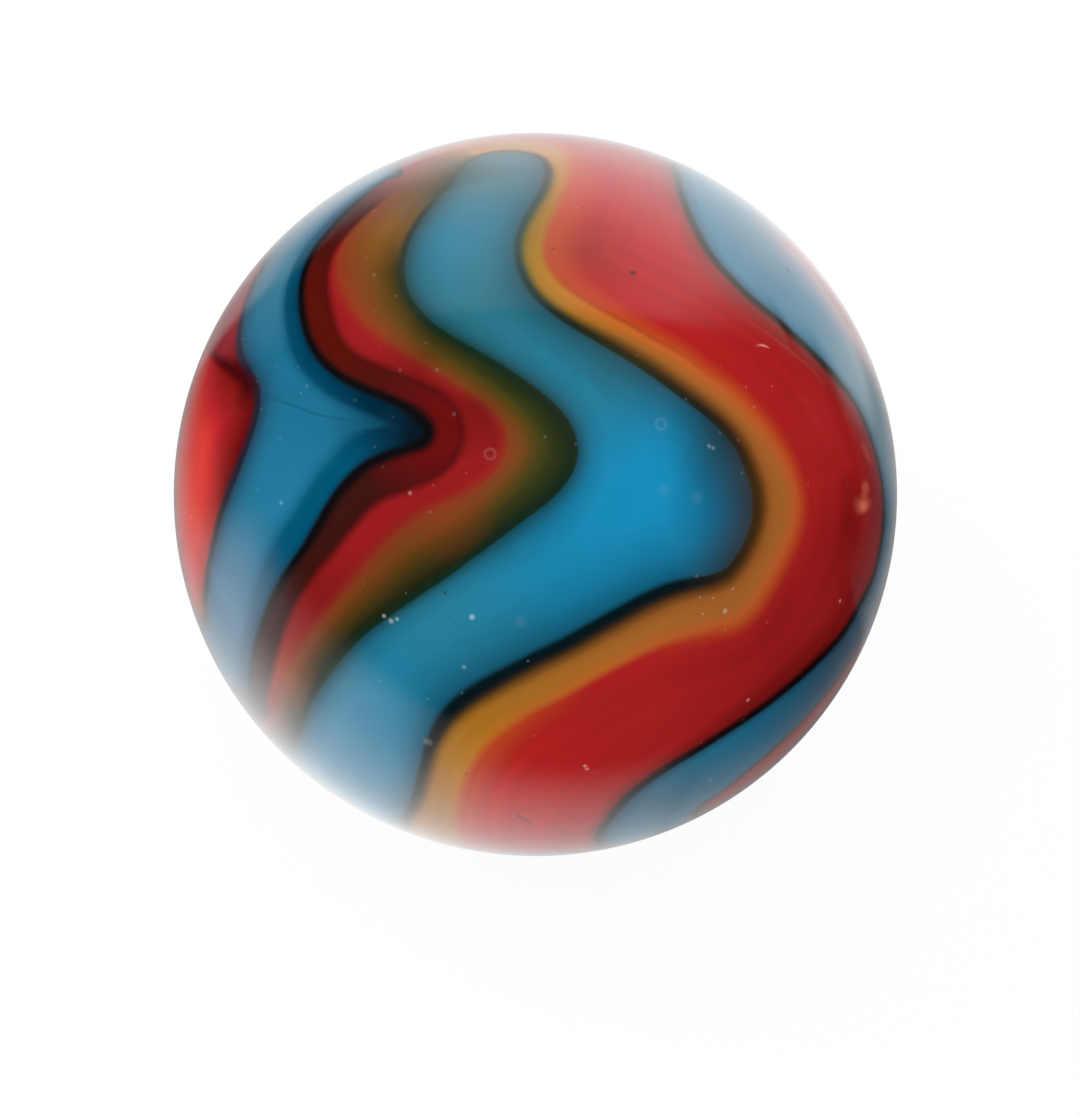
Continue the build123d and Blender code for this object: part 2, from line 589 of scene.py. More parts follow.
def nearness(x, y, radius_px, most=1.0):
    """Most at a spot on the ball and 0 at a distance from it, with an even slope."""
    return sheet.rise(away(x, y), radius_px * px_at_ball, 0.0, most, "LINEAR")


def zoned(under, zones):
    """A colour with others laid over it round some spots: (x, y, radius in pixels, share, colour)."""
    for x, y, radius_px, share, over in zones:
        under = sheet.blend(nearness(x, y, radius_px, share), under, tint(*over))
    return under


def beside(border, width, stops):
    """A ramp's colour or grey level by the distance from a border, as a share of a width beside it."""
    return sheet.ramp(abs(border.distance) / width, stops)


print("one pixel is", round(PX, 4), "mm on the ball")

# %% [markdown]
# ## Blue glass
#
# The blue is strongest in the window's bulge, greener in its neck and greyer near the rim of the ball.
# In the right gap it is darker towards the lower right, partly as painted shade. Beside the beak a band of
# navy follows the border and fills the tip, because dark glass dips under the blue there.

# %% Mix the blue glass
BLUE = tint(26, 124, 158)
LEFT_BLUE = tint(27, 100, 131)
NAVY = tint(1, 76, 106)
BLUE_ZONES = [
    (655, 503, 195, 1.0, (24, 140, 187)), (492, 300, 220, 1.0, (40, 104, 120)),
    (610, 375, 80, 0.5, (42, 108, 120)), (485, 170, 110, 1.0, (38, 88, 92)),
    (430, 610, 130, 0.6, (46, 120, 142)), (760, 502, 105, 0.95, (10, 58, 82)),
    (728, 436, 68, 0.75, (22, 68, 84)), (732, 562, 45, 0.6, (40, 66, 70)),
]
# Tints of the blue in the gaps; the large dark zone over the lower right is partly painted shade, where less
# light falls.
GAP_AND_SHADE_ZONES = [
    (285, 272, 110, 1.0, (62, 120, 142)), (362, 425, 45, 0.6, (10, 64, 86)),
    (280, 510, 110, 1.0, (34, 114, 146)), (850, 650, 240, 1.2, (36, 77, 103)),
    (660, 800, 110, 0.9, (46, 94, 118)), (760, 255, 170, 1.0, (76, 126, 150)),
    (872, 405, 120, 1.0, (80, 124, 140)),
]
NAVY_ZONES = [
    (330, 350, 110, 1.4, (1, 58, 84)), (375, 398, 70, 1.2, (0, 38, 58)),
    (310, 295, 80, 1.0, (3, 58, 80)),
]
NAVY_BAND = [(0.0, 1.0), (0.45, 0.97), (0.56, 0.88), (0.67, 0.45), (0.78, 0.17), (0.92, 0.0)]
NAVY_REACH = 1.6
TIP_ZONES = [(445, 432, 90, 1.65, (8, 22, 34))]
FRINGE_PX = 12
FRINGE_SHADE = [(0.0, 0.8), (0.4, 0.35), (1.0, 0.0)]

blue = zoned(BLUE, BLUE_ZONES)
blue = sheet.blend(sheet.rise(beak.distance, 0, -4 * PX), blue, LEFT_BLUE)
blue = zoned(blue, GAP_AND_SHADE_ZONES)
blue = sheet.blend(beside(beak, beak.cool * NAVY_REACH, NAVY_BAND), blue, zoned(NAVY, NAVY_ZONES))
blue = zoned(blue, TIP_ZONES)
blue = sheet.blend(beside(beak, FRINGE_PX * PX, FRINGE_SHADE), blue, tint(4, 22, 30))
print("blue glass mixed")

# %% [markdown]
# ## Dark glass
#
# Thin dark glass parts the colours. Its ink differs from place to place: black under the window, olive to
# its right, green to its left, purple beside the patch. It also shades the blue for some way from the line.

# %% Shade the blue along the lines
WINDOW_ZONES = [
    (756, 505, 110, 1.3, (62, 44, 24)), (640, 365, 150, 1.0, (46, 46, 30)),
    (525, 230, 130, 1.2, (40, 62, 60)), (405, 260, 90, 1.0, (44, 52, 40)),
]
PATCH_INK_ZONES = [(242, 320, 80, 1.0, (68, 61, 77))]
EDGE_ZONES = [(865, 470, 110, 1.2, (48, 38, 40)), (740, 270, 190, 1.3, (50, 42, 38))]
RIM_ZONES = [(825, 295, 130, 1.5, (170, 120, 122))]
RIGHT_SHADE = [(0.0, 0.75), (0.1, 0.62), (0.25, 0.45), (0.5, 0.22), (0.75, 0.08), (1.0, 0.0)]
LEFT_SHADE = [(0.0, 0.85), (0.17, 0.69), (0.33, 0.45), (0.5, 0.26), (0.83, 0.08), (1.0, 0.0)]
PATCH_SHADE = [(0.0, 0.85), (0.18, 0.63), (0.32, 0.47), (0.5, 0.24), (0.68, 0.15), (0.82, 0.07), (1.0, 0.0)]
THIN_SHADE = [(0.0, 0.9), (0.4, 0.4), (1.0, 0.0)]
BROWN_DULLNESS = 50

dullness = amber.cool / (BROWN_DULLNESS * PX)
left_side = sheet.maths("MINIMUM", dullness, 1)
window_ink = zoned(sheet.blend(left_side, tint(7, 24, 28), tint(20, 40, 26)), WINDOW_ZONES)
patch_ink = zoned(tint(34, 32, 44), PATCH_INK_ZONES)
edge_ink = zoned(tint(22, 10, 12), EDGE_ZONES)
rim_ink = zoned(tint(74, 62, 68), RIM_ZONES)
right_shade = beside(window, window.cool, RIGHT_SHADE)
window_shade = sheet.blend(left_side, right_shade, beside(window, window.cool, LEFT_SHADE))
blue = sheet.blend(window_shade, blue, window_ink)
blue = sheet.blend(beside(patch, patch.cool, PATCH_SHADE), blue, patch_ink)
blue = sheet.blend(beside(edge, edge.cool, THIN_SHADE), blue, edge_ink)
blue = sheet.blend(beside(rim, rim.cool, THIN_SHADE), blue, rim_ink)
print("blue glass shaded")

# %% [markdown]
# ## Amber and olive glass
#
# Each ribbon goes from amber at the blue window to red on its far side. On the right the amber is clear,
# with gold at the neck and at the lower left. On the left it is dull, so there its colour runs through a
# ramp that stretches from the window's line to the red: brown above, olive at the bend, dark tan below.

# %% Mix the amber glass
AMBER = tint(187, 93, 42)
INNER_AMBER = tint(169, 100, 43)
GOLD = tint(172, 125, 26)
GOLD_ZONES = [(470, 770, 110, 1.0, (188, 136, 6)), (540, 222, 130, 1.2, (136, 108, 2))]
SHADOW_ZONES = [
    (756, 505, 140, 1.3, (58, 38, 16)), (640, 365, 120, 0.8, (46, 44, 24)),
    (525, 240, 140, 1.2, (70, 80, 30)),
]
LEFT_YELLOW_ZONES = [(392, 228, 60, 0.6, (136, 90, 30)), (445, 512, 55, 0.3, (150, 60, 32))]
AMBER_SHADE = [(0.0, 1.0), (0.15, 0.93), (0.3, 0.82), (0.47, 0.55), (0.63, 0.25), (0.8, 0.08), (1.0, 0.0)]
BROWN_RAMP = [
    (0.0, tint(30, 42, 26)), (0.1, tint(58, 50, 24)), (0.25, tint(80, 57, 20)), (0.43, tint(101, 64, 26)),
    (0.62, tint(117, 62, 29)), (0.8, tint(127, 58, 28)), (0.94, tint(130, 48, 27)), (1.0, tint(130, 40, 27)),
]
OLIVE_RAMP = [
    (0.0, tint(18, 40, 26)), (0.12, tint(30, 44, 24)), (0.25, tint(42, 50, 22)), (0.35, tint(50, 55, 23)),
    (0.49, tint(69, 64, 24)), (0.62, tint(92, 64, 23)), (0.78, tint(116, 65, 28)), (0.9, tint(132, 60, 30)),
    (1.0, tint(140, 46, 30)),
]
TAN_RAMP = [
    (0.0, tint(22, 30, 14)), (0.14, tint(34, 36, 17)), (0.28, tint(54, 46, 20)), (0.43, tint(72, 52, 17)),
    (0.57, tint(96, 56, 20)), (0.71, tint(112, 60, 25)), (0.85, tint(120, 56, 27)), (1.0, tint(124, 40, 26)),
]
LEAST_BAND_MM = 0.01
FULL_GOLD = 100

yellow = sheet.blend(sheet.rise(amber.distance, -18 * PX, -4 * PX), INNER_AMBER, AMBER)
yellow = sheet.blend(amber.warm / (FULL_GOLD * PX), yellow, zoned(GOLD, GOLD_ZONES))
shadow_ink = zoned(tint(9, 20, 20), SHADOW_ZONES)
yellow = sheet.blend(beside(window, window.warm, AMBER_SHADE), yellow, shadow_ink)
across = window.distance / sheet.maths("MAXIMUM", window.distance - amber.distance, LEAST_BAND_MM)
left_yellow = sheet.blend(dullness - 1, sheet.ramp(across, BROWN_RAMP), sheet.ramp(across, OLIVE_RAMP))
left_yellow = sheet.blend(dullness - 2, left_yellow, sheet.ramp(across, TAN_RAMP))
yellow = sheet.blend(dullness, yellow, zoned(left_yellow, LEFT_YELLOW_ZONES))
print("amber glass mixed")

# %% [markdown]
# ## Red glass
#
# The red glows orange next to the clear amber. The left ribbon's red is darker, with a band of oxblood
# along the beak. Towards the right and lower right the red is darker too, partly as painted shade. The patch
# on the far left goes from dark red at its line to bright red, apart from a dull strip above its crease.

# %% Mix the red glass
RED = tint(172, 32, 32)
LEFT_RED = tint(140, 25, 27)
ORANGE = tint(186, 84, 28)
# Tints of the red glass; the two darker zones at the right and lower right are partly painted shade, where
# less light falls.
RED_AND_SHADE_ZONES = [
    (780, 630, 150, 1.0, (150, 26, 28)), (500, 800, 150, 1.0, (192, 36, 32)),
    (640, 240, 140, 1.0, (180, 34, 40)), (568, 248, 80, 0.9, (142, 32, 16)),
    (815, 415, 45, 0.35, (190, 44, 48)), (852, 545, 80, 0.65, (116, 14, 18)),
]
LEFT_RED_ZONES = [(316, 588, 70, 0.6, (112, 20, 20))]
OXBLOOD_ZONES = [(335, 310, 170, 1.6, (79, 16, 9)), (440, 432, 90, 1.3, (100, 14, 15))]
PATCH_ZONES = [(186, 512, 105, 0.85, (230, 60, 44)), (246, 394, 22, 0.6, (56, 8, 12))]
PATCH_RAMP = [
    (0.0, tint(60, 10, 14)), (0.1, tint(100, 12, 16)), (0.2, tint(117, 18, 18)), (0.35, tint(140, 26, 26)),
    (0.5, tint(160, 30, 34)), (0.65, tint(186, 34, 38)), (0.8, tint(200, 44, 40)), (1.0, tint(208, 54, 46)),
]
SHADED_SPOTS = [(425, 356, 52), (478, 408, 55)]
SPOT_SHADE = tint(206, 215, 195)
SEAM_SPOT = (630, 320, 130, 0.35)
TAN_SPOT = (280, 672, 60, 0.25)
OXBLOOD_END = (430, 164, 85, 1.4)
DULL_SPOT = (228, 325, 80, 1.6)
GLOW_GAP = (625, 678, 135, 1.3)
GLOW_PX = 20
GLOW_SHARE = 0.55

red = sheet.blend(dullness, zoned(RED, RED_AND_SHADE_ZONES), zoned(LEFT_RED, LEFT_RED_ZONES))
glow = sheet.rise(amber.distance, GLOW_PX * PX + amber.warm * 0.3, 0) * (1 - left_side) * GLOW_SHARE
glow = glow * (1 - nearness(*GLOW_GAP))
red = sheet.blend(glow, red, ORANGE)
warm = sheet.blend(sheet.rise(amber.distance, -amber.line, amber.line), yellow, red)
seam = sheet.rise(abs(amber.distance - PX), 4 * PX, PX) * nearness(*SEAM_SPOT)
warm = sheet.blend(seam, warm, tint(110, 40, 20))
for x, y, radius_px in SHADED_SPOTS:
    warm = sheet.blend(nearness(x, y, radius_px), warm, SPOT_SHADE, "MULTIPLY")
warm = sheet.blend(nearness(*TAN_SPOT), warm, tint(200, 110, 60))
oxblood_seam = sheet.rise(abs(beak.distance), beak.warm - 9 * PX, beak.warm, 0.7)
oxblood = sheet.blend(oxblood_seam, zoned(tint(57, 19, 17), OXBLOOD_ZONES), tint(58, 13, 11))
oxblood_share = sheet.rise(abs(beak.distance), beak.warm + 7 * PX, beak.warm - 6 * PX)
oxblood_share = oxblood_share * (1 - nearness(*OXBLOOD_END))
warm = sheet.blend(oxblood_share, warm, oxblood)
patch_red = zoned(beside(patch, patch.warm, PATCH_RAMP), PATCH_ZONES)
above_crease = sheet.rise(crease.distance, 2 * PX, -2 * PX) * nearness(*DULL_SPOT)
patch_red = sheet.blend(above_crease, patch_red, tint(146, 48, 56))
warm = sheet.blend(sheet.rise(patch.distance, -4 * PX, 0), warm, patch_red)
print("red glass mixed")

# %% [markdown]
# Towards the right the red darkens again: brown under the upper edge, purple at the far right, dark red
# below.

# %% Shade the red along the right edge
EDGE_SHADE = [
    (0.0, 0.98), (0.08, 0.8), (0.15, 0.63), (0.24, 0.5), (0.33, 0.41), (0.51, 0.35), (0.6, 0.24), (0.7, 0.16),
    (0.8, 0.08), (1.0, 0.0),
]
EDGE_DARK_ZONES = [
    (872, 560, 80, 1.0, (112, 30, 38)), (860, 460, 110, 1.2, (108, 42, 50)),
    (740, 270, 190, 1.3, (90, 52, 42)), (800, 345, 90, 0.8, (104, 72, 68)),
]
RIM_SHADE = [(0.0, 0.9), (0.3, 0.6), (1.0, 0.0)]

edge_dark = zoned(tint(60, 6, 8), EDGE_DARK_ZONES)
warm = sheet.blend(beside(edge, edge.warm, EDGE_SHADE), warm, edge_dark)
warm = sheet.blend(beside(rim, rim.warm, RIM_SHADE), warm, tint(110, 70, 66))
print("red glass shaded")

# %% [markdown]
# ## Streaks
#
# Stirred glass is never even: it has faint streaks that follow the bands. A noise in four dimensions gives
# them, with the distance from the amber border as the fourth, so that the pattern changes fast across the
# bands and slowly along them. They are weaker in the patch. The blue is only a little cloudy, and a plain
# noise serves.

# %% Stir the glass
STREAK_SCALE = 150.0
STREAK_DRIFT = 0.02
CLOUD_SCALE = 1200.0
STREAK_STRENGTH = 0.4
PATCH_CALM = 0.3
CLOUD_DARKEST = 0.93
CLOUD_STRENGTH = 0.14

streaks = sheet.node(
    "ShaderNodeTexNoise",
    {"noise_dimensions": "4D"},
    {"Vector": place, "W": amber.distance * STREAK_DRIFT, "Scale": STREAK_SCALE, "Detail": 3.0},
)
clouds = sheet.node("ShaderNodeTexNoise", None, {"Vector": place, "Scale": CLOUD_SCALE, "Detail": 3.0})
unevenness = STREAK_STRENGTH - sheet.rise(patch.distance, 0, 4 * PX, PATCH_CALM)
stirred = 1 + (streaks - 0.5) * unevenness
warm = sheet.node("ShaderNodeVectorMath", {"operation": "SCALE"}, {0: warm, "Scale": stirred})
cloudy = CLOUD_DARKEST + CLOUD_STRENGTH * clouds
blue = sheet.node("ShaderNodeVectorMath", {"operation": "SCALE"}, {0: blue, "Scale": cloudy})
print("streaks and clouds stirred in")

# %% [markdown]
# ## Putting the bands together
#
# The blue lies in the window and in the two gaps, each between two borders, and the rest of the ball is
# warm. The dark lines go on last. Each is crisp towards the blue and softer towards the warm glass.

# %% Lay the bands and lines
COOL_FLANK = (-1.6, -0.3)
WARM_FLANK = (2.4, 0.2)

left_gap = sheet.maths("MAXIMUM", beak.distance, patch.distance)
right_gap = sheet.maths("MAXIMUM", edge.distance, rim.distance)
blue_side = sheet.maths("MINIMUM", sheet.maths("MINIMUM", left_gap, window.distance), right_gap)
colour = sheet.blend(sheet.rise(blue_side, 2 * PX, -4 * PX), warm, blue)
LINES = (
    (window, window_ink), (beak, tint(12, 12, 14)), (patch, patch_ink), (edge, edge_ink), (rim, rim_ink),
)
for border, ink in LINES:
    cool_flank = sheet.rise(border.distance, *(border.line * share for share in COOL_FLANK))
    warm_flank = sheet.rise(border.distance, *(border.line * share for share in WARM_FLANK))
    colour = sheet.blend(cool_flank * warm_flank, colour, ink)
print(len(LINES), "lines laid")

# %% [markdown]
# ## Folds and a painted glint
#
# The folds, the painted highlight of the glint and the two scuffs are laid along their curves, each with its
# own width, strength and ink.

# %% Lay the folds and the painted glint
# The glint's pale ink is a painted highlight; the other inks are folds and scuffs.
FOLDS_AND_GLINT = (
    (crease, tint(56, 6, 10)), (hairline, tint(10, 66, 94)), (glint, tint(196, 84, 84)),
    (nick, tint(236, 160, 156)), (scratch, tint(70, 20, 30)),
)
PERCENT = 100

for border, ink in FOLDS_AND_GLINT:
    share = sheet.rise(abs(border.distance), border.line * 2, 0) * border.cool / (PERCENT * PX)
    colour = sheet.blend(share, colour, ink)
print(len(FOLDS_AND_GLINT), "strokes laid")

# %% [markdown]
# ## Seeds, scuffs and a painted reflection
#
# Air leaves seeds in glass: bubbles far smaller than a pinhead, which lighten the colour under them. A
# marble that has been played with also has dark specks and rings. They are drawn where they are on the
# real ball, as small round marks: a pixel, a radius in pixels and a strength in percent. On the right, a
# bright spot and pale streaks in a darker zone are a painted reflection of the room, laid as marks that
# overlap. A fine random dust of seeds is laid between them.

# %% Add the seeds, scuffs and the painted reflection
SEEDS = [
    (307, 386, 3, 11), (355, 400, 3, 5), (280, 439, 2, 12), (374, 275, 3, 13), (374, 211, 3, 14),
    (396, 296, 3, 8), (375, 447, 2, 9), (410, 493, 3, 32), (281, 503, 3, 26), (191, 517, 3, 22),
    (430, 512, 2, 16), (380, 681, 2, 16), (464, 667, 3, 42), (462, 693, 2, 18), (472, 617, 4, 65),
    (384, 616, 3, 60), (391, 621, 4, 50), (397, 619, 3, 50), (428, 742, 7, 20), (585, 766, 3, 60),
    (587, 769, 3, 55), (748, 700, 3, 55), (840, 601, 3, 60), (725, 611, 4, 42), (700, 597, 2, 28),
    (713, 598, 2, 28), (733, 589, 2, 28), (703, 614, 2, 28), (528, 661, 2, 18), (710, 780, 4, 20),
    (709, 446, 3, 34), (713, 448, 3, 34), (720, 433, 2, 18), (742, 473, 2, 18), (738, 440, 2, 18),
    (746, 387, 2, 18), (772, 386, 2, 18), (754, 407, 2, 18), (686, 399, 2, 14), (545, 437, 2, 20),
    (697, 576, 3, 16), (565, 794, 2, 16), (454, 414, 3, 10), (437, 370, 3, 11), (400, 370, 3, 9),
    (277, 366, 2, 9), (257, 382, 2, 9), (393, 417, 2, 5), (374, 310, 2, 8), (433, 485, 2, 9),
    (521, 622, 9, 5), (664, 490, 9, 5), (697, 498, 9, 5),
]
SPECKS = [
    (633, 273, 5, 75), (553, 249, 3, 40), (788, 270, 5, 70), (445, 593, 3, 60), (375, 747, 3, 35),
    (466, 774, 3, 40), (568, 139, 6, 80), (243, 660, 4, 45), (241, 652, 3, 40), (395, 826, 4, 40),
    (634, 783, 2, 40),
]
# Painted reflection on the right: a bright spot and pale streaks mirrored from a light in the room.
PAINTED_REFLECTION_MARKS = [
    (857, 504, 11, 14), (859, 506, 12, 24), (861, 506, 11, 46), (863, 506, 10, 72), (865, 505, 10, 60),
    (867, 504, 11, 28), (869, 503, 10, 14), (863, 497, 9, 26), (865, 496, 9, 30), (864, 488, 9, 30),
    (866, 487, 9, 34), (868, 489, 8, 16), (863, 446, 8, 14), (865, 450, 9, 17), (867, 454, 9, 17),
    (869, 459, 8, 12),
]
RINGS = [(490, 454, 5, 8), (661, 424, 5, 9)]
# Painted dark reflection of the room round that bright spot.
DARK_REFLECTION_ZONES = [(849, 490, 26, 0.4, (96, 10, 12)), (849, 520, 26, 0.4, (96, 10, 12))]
MARK_CORE = 0.2
RING_WIDTH_PX = 2.5
DUST_SCALE = 2200.0
DUST_SIZE = (0.09, 0.03)
DUST_CHOICE = (0.55, 0.95, 0.15)
SEED_LIGHT = (0.4, 0.4, 0.38, 1)


def marks(rows):
    """One share for many round marks: (x, y, radius in pixels, strength in percent)."""
    total = 0.0
    for x, y, radius_px, strength in rows:
        radius = radius_px * px_at_ball
        mark = sheet.rise(away(x, y), radius, MARK_CORE * radius, strength / PERCENT)
        total = sheet.maths("MAXIMUM", total, mark)
    return total


# Painted reflection: first the darker zones, then the bright spot and streaks over them.
colour = zoned(colour, DARK_REFLECTION_ZONES)
colour = sheet.blend(marks(PAINTED_REFLECTION_MARKS), colour, tint(235, 130, 100))
colour = sheet.blend(marks(SPECKS), colour, tint(40, 22, 24))
pale = marks(SEEDS)
for x, y, radius_px, strength in RINGS:
    off_ring = abs(away(x, y) - radius_px * px_at_ball)
    ring = sheet.rise(off_ring, RING_WIDTH_PX * px_at_ball, 0, strength / PERCENT)
    pale = sheet.maths("MAXIMUM", pale, ring)
dust_sockets = {"Vector": place, "Scale": DUST_SCALE}
dust_gap = sheet.node("ShaderNodeTexVoronoi", None, dust_sockets)
dust_kind = sheet.node("ShaderNodeTexVoronoi", None, dust_sockets, output=1)
dust_kind = sheet.node("ShaderNodeSeparateColor", None, {0: dust_kind})
dust = sheet.rise(dust_gap, *DUST_SIZE) * sheet.rise(dust_kind, *DUST_CHOICE)
pale = sheet.maths("MAXIMUM", pale, dust)
colour = sheet.blend(pale, colour, SEED_LIGHT, "ADD")
print(len(SEEDS), "seeds,", len(SPECKS), "specks,", len(PAINTED_REFLECTION_MARKS), "painted_reflection marks and", len(RINGS), "rings")

# %% [markdown]
# ## One finish
#
# Coloured glass this dense hardly lets light through, so one solid glossy finish stands for it: the bands
# as its colour, a smooth face and a clear coat, which gives the rim its strong mirror.

# %% Finish the glass
shader = sheet.node(
    "ShaderNodeBsdfPrincipled",
    None,
    {"Base Color": colour, "Roughness": 0.06, "IOR": 1.5, "Coat Weight": 1.0, "Coat Roughness": 0.03},
)
sheet.node("ShaderNodeOutputMaterial", None, {"Surface": shader})
skin.data.materials.clear()
skin.data.materials.append(glass)
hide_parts("glass_ball")
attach(skin, "root")
print(len(glass.node_tree.nodes), "nodes in the glass")

# %% [markdown]
# ## The floor
#
# The ball lies on white paper. The eye sees the paper white, but the ball mirrors it unevenly: bright close
# by and behind, dark where something stood in the light. So the paper's glow depends on the kind of ray
# that meets it: rays from the eye see plain white, and mirrored rays see a pattern of light and dark places
# on the floor. The pattern uses two measures of a floor point: how far it lies along a direction, in
# millimetres, and how nearly it lies in that direction as seen from under the ball. The rows of numbers
# below are where a slope starts and ends on such a measure, and then the level that it reaches if that
# isn't 1.

# %% Lay the floor
FLOOR_SIZE = 2.0

bpy.ops.object.select_all(action="DESELECT")
bpy.ops.mesh.primitive_plane_add(size=FLOOR_SIZE, location=(0, 0, -BALL_RADIUS))
floor = bpy.context.object
floor.name = "pale_floor"
paper = bpy.data.materials.new("white_paper")
paper.use_nodes = True
page = Sheet(paper.node_tree)
floor_place = page.node("ShaderNodeTexCoord", output=3)
floor_reach = page.node("ShaderNodeVectorMath", {"operation": "LENGTH"}, {0: floor_place}, output=1) / MM


def floor_way(direction):
    """How far a floor point lies along a direction, in millimetres."""
    sockets = {0: floor_place, 1: (*direction, 0)}
    return page.node("ShaderNodeVectorMath", {"operation": "DOT_PRODUCT"}, sockets, output=1) / MM


def facing(direction):
    """How nearly a floor point lies in a direction: 1 straight on, 0 square to it and -1 opposite."""
    return floor_way(direction) / floor_reach


print("floor", FLOOR_SIZE, "m wide")

# %% [markdown]
# The first bright place lies in front of the ball, to the left. It has a soft edge on three sides, fades
# with its reach, and has a narrow shadow across it.

# %% Brighten the floor in front
FRONT = (0.57, -0.82)
FRONT_EDGE = (20.3, 0)
FRONT_EDGE_BEND = (20, 40, 6)
FRONT_SIDE = (-0.82, -0.57)
FRONT_SIDE_EDGE = (-5, 9)
BACK = (0, 1)
BACK_EDGE = (3.5, -6)
BACK_EDGE_BEND = (15, 19, 1.2)
BACK_GLOW = (16, 0, 0.12)
SHADOW = (-0.87, -0.493)
SHADOW_WIDTH = (0.965, 0.995, 0.5)
SHADOW_REACH = (10, 26)
FRONT_LEVEL = 1.12
FADE_REACH = 40

front = page.rise(floor_way(FRONT) - page.rise(floor_reach, *FRONT_EDGE_BEND), *FRONT_EDGE)
front = front * page.rise(floor_way(FRONT_SIDE), *FRONT_SIDE_EDGE)
before = page.rise(floor_way(BACK) - page.rise(floor_reach, *BACK_EDGE_BEND), *BACK_EDGE)
before = before + page.rise(floor_way(BACK), *BACK_GLOW) * (1 - before)
faded = floor_reach / FADE_REACH
front = front * before * FRONT_LEVEL / (1 + faded * faded * faded)
shadow = page.rise(facing(SHADOW), *SHADOW_WIDTH) * page.rise(floor_reach, *SHADOW_REACH)
front = front * (1 - shadow)
print("front of the floor brightened")

# %% [markdown]
# The second lies behind the ball. It opens between a left and a right bearing, which are wider close to the
# ball, and it is dimmer towards both.

# %% Brighten the floor behind
RIGHT = (1, 0)
LEFT_OPENING = (-0.58, 0.0, 0.95)
NEAR_LEFT_OPENING = (-0.75, -0.3, 0.95)
NEAR_LEFT_REACH = (34, 22)
RIGHT_OPENING = (0.81, 0.67)
NEAR_RIGHT_SHIFT = (60, 18, 0.13)
MIDWAY_RIGHT_SHIFT = (300, 60, 0.07)
BEHIND = (-0.35, 1)
BEHIND_EDGE = (-2, 7)
CLOSE_REACH = (22, 16)
RIGHT_DIMMING = (0.55, 0.72, 0.2)
FAR_RIGHT_DIMMING = (0.72, 0.85, 0.5)
LEFT_DIMMING = (0.5, 0.2)
LEFT_DIMMING_REACH = (45, 20, 0.2)

bearing = facing(RIGHT)
near_left = page.rise(bearing, *NEAR_LEFT_OPENING) * page.rise(floor_reach, *NEAR_LEFT_REACH)
behind = page.maths("MAXIMUM", page.rise(bearing, *LEFT_OPENING), near_left)
right_shift = page.rise(floor_reach, *NEAR_RIGHT_SHIFT) + page.rise(floor_reach, *MIDWAY_RIGHT_SHIFT)
behind = behind * page.rise(bearing - right_shift, *RIGHT_OPENING)
behind = behind * page.rise(floor_way(BEHIND), *BEHIND_EDGE)
close_by = page.rise(floor_reach, *CLOSE_REACH)
dimmed = page.rise(bearing, *RIGHT_DIMMING)
behind = behind * (1 - dimmed) * (1 - dimmed * close_by)
behind = behind * (1 - page.rise(bearing, *FAR_RIGHT_DIMMING) * close_by)
behind = behind * (1 - page.rise(floor_reach, *LEFT_DIMMING_REACH) * page.rise(bearing, *LEFT_DIMMING))
print("back of the floor brightened")

# %% [markdown]
# The third is a dim pool of light all round the ball. It reaches farther at the back, and it is shaded at
# the right and at the far left.

# %% Brighten the floor all round
POOL_REACH = 21
POOL_BACK_REACH = (0.62, 0.85, 58)
POOL_RIGHT_REACH = (0.85, 0.95, 5)
POOL_LEVEL = (1, 0.5, 0.28)
SHADE = (0.94, -0.342)
SHADE_WIDTH = (0.7, 0.85)
SHADE_REACH = (10, 15, 0.8)
SHADE_EDGE = (0.5, -2)
FAR_LEFT_REACH = (30, 38, 0.5)
FAR_LEFT_WIDTH = (-0.15, -0.4)
CONTACT_LEVEL = (16, 8, 0.18)

pool_reach = POOL_REACH + page.rise(facing(BACK), *POOL_BACK_REACH) + page.rise(bearing, *POOL_RIGHT_REACH)
shade = page.maths("MAXIMUM", page.rise(floor_reach, *SHADE_REACH), page.rise(floor_way(BACK), *SHADE_EDGE))
shade = shade * page.rise(facing(SHADE), *SHADE_WIDTH)
pool = page.rise(floor_reach / pool_reach, *POOL_LEVEL) * (1 - shade)
pool = pool * (1 - page.rise(floor_reach, *FAR_LEFT_REACH) * page.rise(bearing, *FAR_LEFT_WIDTH))
pool = page.maths("MAXIMUM", pool, page.rise(floor_reach, *CONTACT_LEVEL))
mirrored = page.maths("MAXIMUM", front, behind)
mirrored = mirrored + pool * (1 - page.maths("MINIMUM", mirrored, 1))
print("floor brightened all round")

# %% [markdown]
# The Light Path node tells which kind of ray has met the paper, and with it the paper shows each kind its
# own light.

# %% Finish the paper
CAMERA_WHITE = 0.96
PAPER_GREY = (0.9, 0.9, 0.9, 1)

seen_by_eye = page.node("ShaderNodeLightPath", output=0)
seen_in_gloss = page.node("ShaderNodeLightPath", output=3)
seen_through = page.node("ShaderNodeLightPath", output=6)
matt = page.node("ShaderNodeBsdfDiffuse", None, {"Color": PAPER_GREY})
strength = 1 - seen_in_gloss * (1 - mirrored)
white = page.node("ShaderNodeEmission", None, {"Color": (1, 1, 1, 1), "Strength": strength})
share_white = seen_by_eye * CAMERA_WHITE + seen_in_gloss + seen_through * CAMERA_WHITE
lit = page.node("ShaderNodeMixShader", None, {0: share_white, 1: matt, 2: white})
page.node("ShaderNodeOutputMaterial", None, {"Surface": lit})
floor.data.materials.append(paper)
print(len(paper.node_tree.nodes), "nodes in the paper")

# %% [markdown]
# ## The room
#
# Above the floor stands a plain white room. Mirrored rays see only a soft panel high up at the back, which
# lays a pale veil over the upper part of the ball, as a window would.

# %% Light the room
PANEL_LEVELS = [(0.0, 0.95), (0.2, 0.78), (0.37, 0.6), (0.59, 0.46), (0.72, 0.34), (0.86, 0.2), (1.0, 0.15)]
PANEL_LEAN = 0.15
PANEL_LEFT = (-0.54, -0.08)
PANEL_RIGHT = (0.87, 0.62)
PANEL_BACK = (0.47, 0.56)
AMBIENT = 0.6

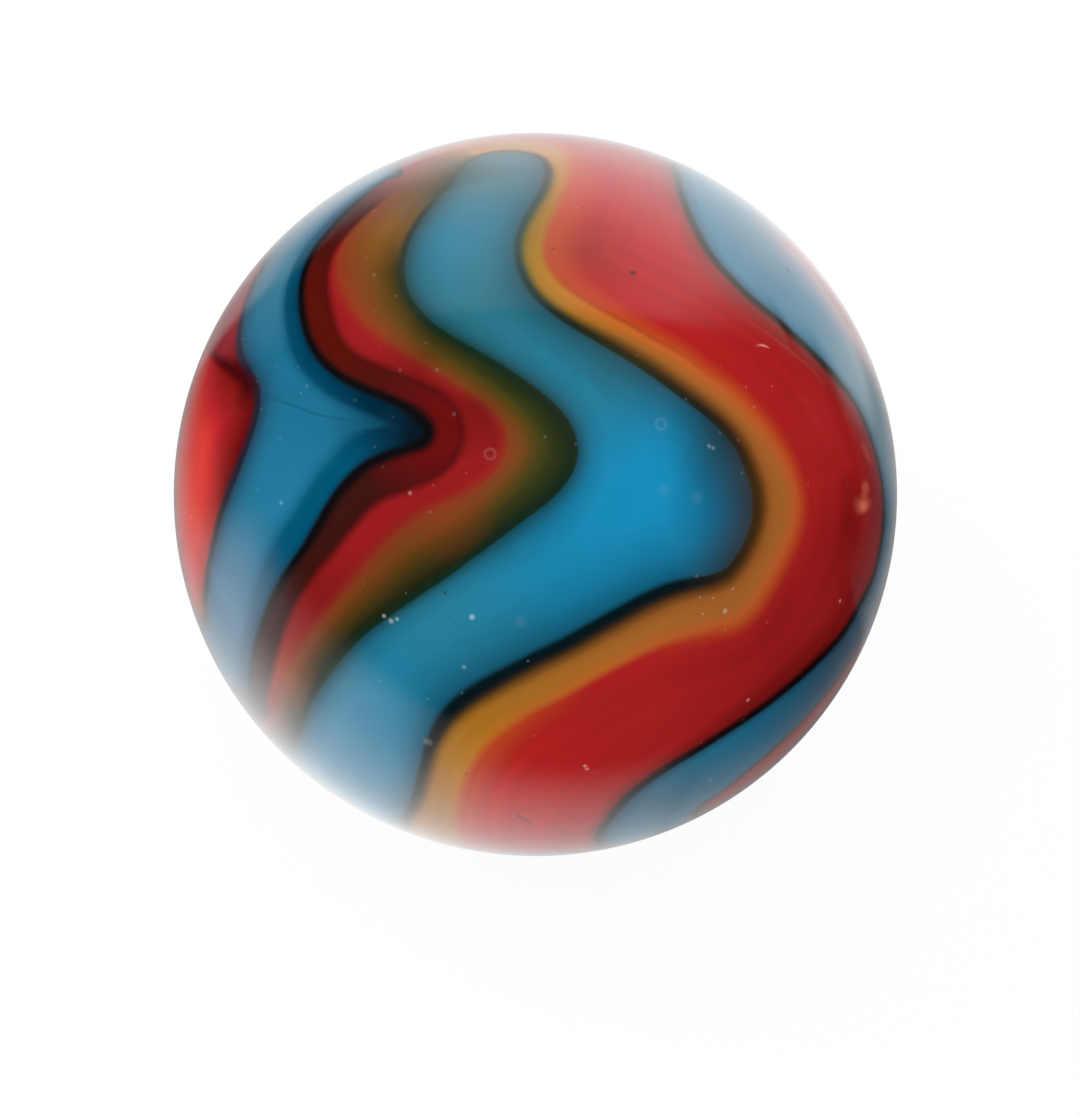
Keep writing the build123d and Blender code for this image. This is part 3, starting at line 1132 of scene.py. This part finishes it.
world = bpy.data.worlds.new("studio")
bpy.context.scene.world = world
world.use_nodes = True
room = Sheet(world.node_tree)
heading = room.node("ShaderNodeTexCoord", output=0)
sideways = room.node("ShaderNodeSeparateXYZ", None, {0: heading}, output=0)
backwards = room.node("ShaderNodeSeparateXYZ", None, {0: heading}, output=1)
upwards = room.node("ShaderNodeSeparateXYZ", None, {0: heading}, output=2)
leaning = sideways + PANEL_LEAN * upwards
panel = room.ramp(upwards, PANEL_LEVELS) * room.rise(leaning, *PANEL_LEFT)
panel = panel * room.rise(leaning, *PANEL_RIGHT) * room.rise(backwards, *PANEL_BACK)
eye_ray = room.node("ShaderNodeLightPath", output=0)
gloss_ray = room.node("ShaderNodeLightPath", output=3)
level = panel + AMBIENT * (1 - gloss_ray)
level = level * (1 - eye_ray) + eye_ray
backdrop = room.node("ShaderNodeBackground", None, {"Color": (1, 1, 1, 1), "Strength": level})
room.node("ShaderNodeOutputWorld", None, {"Surface": backdrop})
print("room ready")

# %% [markdown]
# ## The lamps
#
# Two soft square lamps light the colours, a key from the left and a fill from above. They are hidden from
# mirrored rays, so they leave no square glints.

# %% Hang the lamps
def soft_lamp(name, direction, distance, size, level):
    """A square lamp that lights the ball's face at a level, 1 being a white sheet shown as white."""
    bpy.ops.object.light_add(type="AREA", location=Vector(direction).normalized() * distance)
    lamp = bpy.context.object
    lamp.name = name
    lamp.data.size = size
    lamp.data.energy = level * math.pi * math.pi * distance**2
    lamp.rotation_mode = "QUATERNION"
    lamp.rotation_quaternion = lamp.location.to_track_quat("Z", "Y")
    lamp.visible_glossy = False
    lamp.visible_camera = False
    return lamp


lamps = [
    soft_lamp("key", direction=(-0.71, 0.33, 0.62), distance=0.3, size=0.15, level=0.45),
    soft_lamp("fill", direction=(-0.1, -0.2, 0.97), distance=0.4, size=0.3, level=0.5),
]
print([lamp.name for lamp in lamps], "hung")

# %% [markdown]
# ## The view
#
# Last, the scene's view transform is set to Standard.

# %% Set the view
bpy.context.scene.view_settings.view_transform = "Standard"
